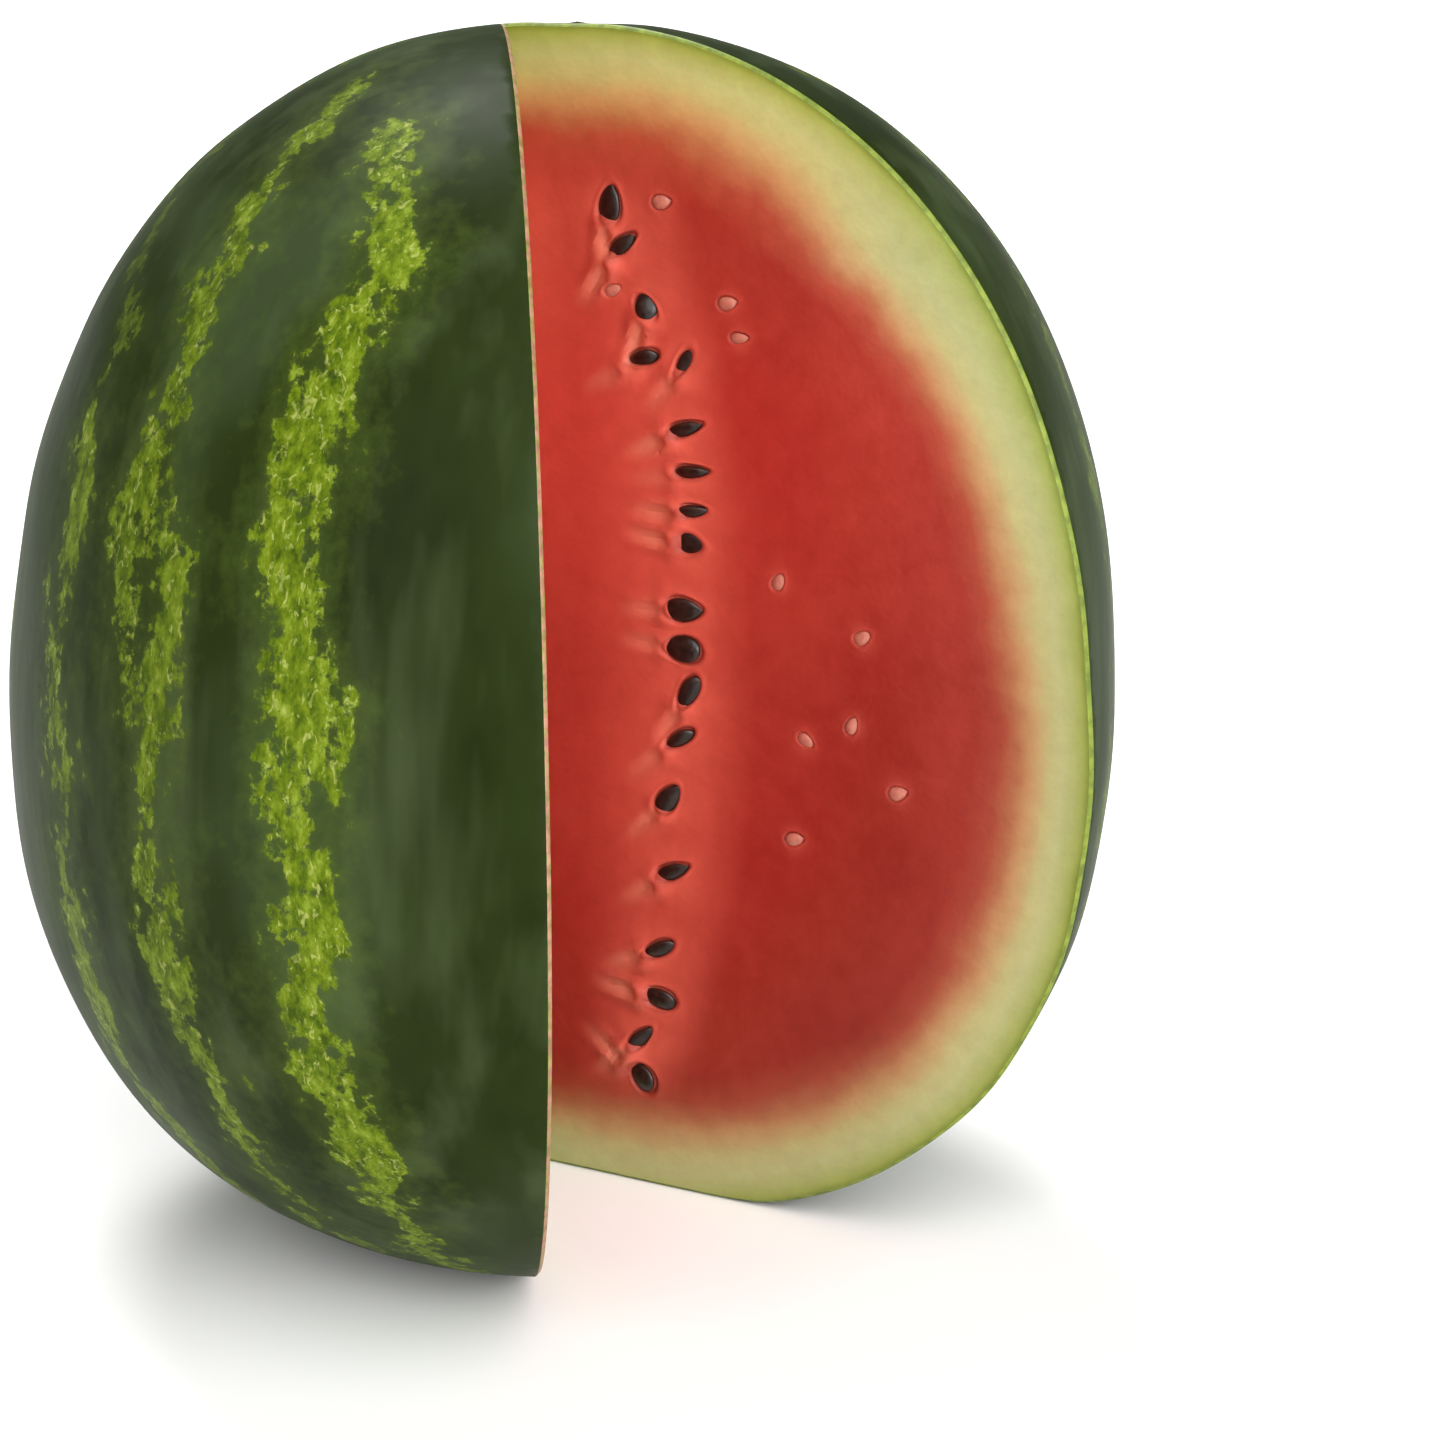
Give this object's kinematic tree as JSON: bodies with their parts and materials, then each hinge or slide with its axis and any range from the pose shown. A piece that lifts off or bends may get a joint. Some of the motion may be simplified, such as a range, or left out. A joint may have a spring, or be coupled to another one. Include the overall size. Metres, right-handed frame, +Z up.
{
  "type": "watermelon",
  "caption": "Ripe striped watermelon standing on end with one lengthwise wedge cut away, showing red flesh, pale rind and seeds in both cut faces.",
  "frame": {"origin": "on the surface that the melon stands on, straight below the middle of its bounding box", "axes": "+Z up from the flat spot it rests on, -Y towards the front, where the wedge opens to the front and right, +X to the right"},
  "size_m": [0.2605, 0.265, 0.2897],
  "materials": {
    "melon": "waxy dark green skin with pale mottled stripes outside, moist red flesh and cream rind on the cut faces",
    "ripe_seed": "hard seed coat, near black, wet and glossy",
    "unripe_seed": "soft cream seed coat, moist satin"
  },
  "bodies": {
    "root": {"melon": "melon", "ripe_seed_front_01": "ripe_seed", "ripe_seed_front_02": "ripe_seed", "ripe_seed_front_03": "ripe_seed", "ripe_seed_front_04": "ripe_seed", "ripe_seed_front_05": "ripe_seed", "ripe_seed_front_06": "ripe_seed", "ripe_seed_front_07": "ripe_seed", "ripe_seed_front_08": "ripe_seed", "ripe_seed_front_09": "ripe_seed", "ripe_seed_front_10": "ripe_seed", "ripe_seed_front_11": "ripe_seed", "ripe_seed_front_12": "ripe_seed", "ripe_seed_front_13": "ripe_seed", "ripe_seed_front_14": "ripe_seed", "ripe_seed_front_15": "ripe_seed", "ripe_seed_front_16": "ripe_seed", "ripe_seed_front_17": "ripe_seed", "ripe_seed_front_18": "ripe_seed", "ripe_seed_front_19": "ripe_seed", "unripe_seed_front_01": "unripe_seed", "unripe_seed_front_02": "unripe_seed", "unripe_seed_front_03": "unripe_seed", "unripe_seed_front_04": "unripe_seed", "unripe_seed_front_05": "unripe_seed", "unripe_seed_front_06": "unripe_seed", "unripe_seed_front_07": "unripe_seed", "unripe_seed_front_08": "unripe_seed", "unripe_seed_front_09": "unripe_seed", "unripe_seed_front_10": "unripe_seed", "ripe_seed_side_01": "ripe_seed", "ripe_seed_side_02": "ripe_seed", "ripe_seed_side_03": "ripe_seed", "ripe_seed_side_04": "ripe_seed", "ripe_seed_side_05": "ripe_seed", "ripe_seed_side_06": "ripe_seed", "ripe_seed_side_07": "ripe_seed", "ripe_seed_side_08": "ripe_seed", "ripe_seed_side_09": "ripe_seed", "ripe_seed_side_10": "ripe_seed", "ripe_seed_side_11": "ripe_seed", "ripe_seed_side_12": "ripe_seed", "ripe_seed_side_13": "ripe_seed", "ripe_seed_side_14": "ripe_seed", "ripe_seed_side_15": "ripe_seed", "ripe_seed_side_16": "ripe_seed", "ripe_seed_side_17": "ripe_seed", "unripe_seed_side_01": "unripe_seed", "unripe_seed_side_02": "unripe_seed", "unripe_seed_side_03": "unripe_seed", "unripe_seed_side_04": "unripe_seed", "unripe_seed_side_05": "unripe_seed", "unripe_seed_side_06": "unripe_seed", "unripe_seed_side_07": "unripe_seed"}
  },
  "joints": []
}
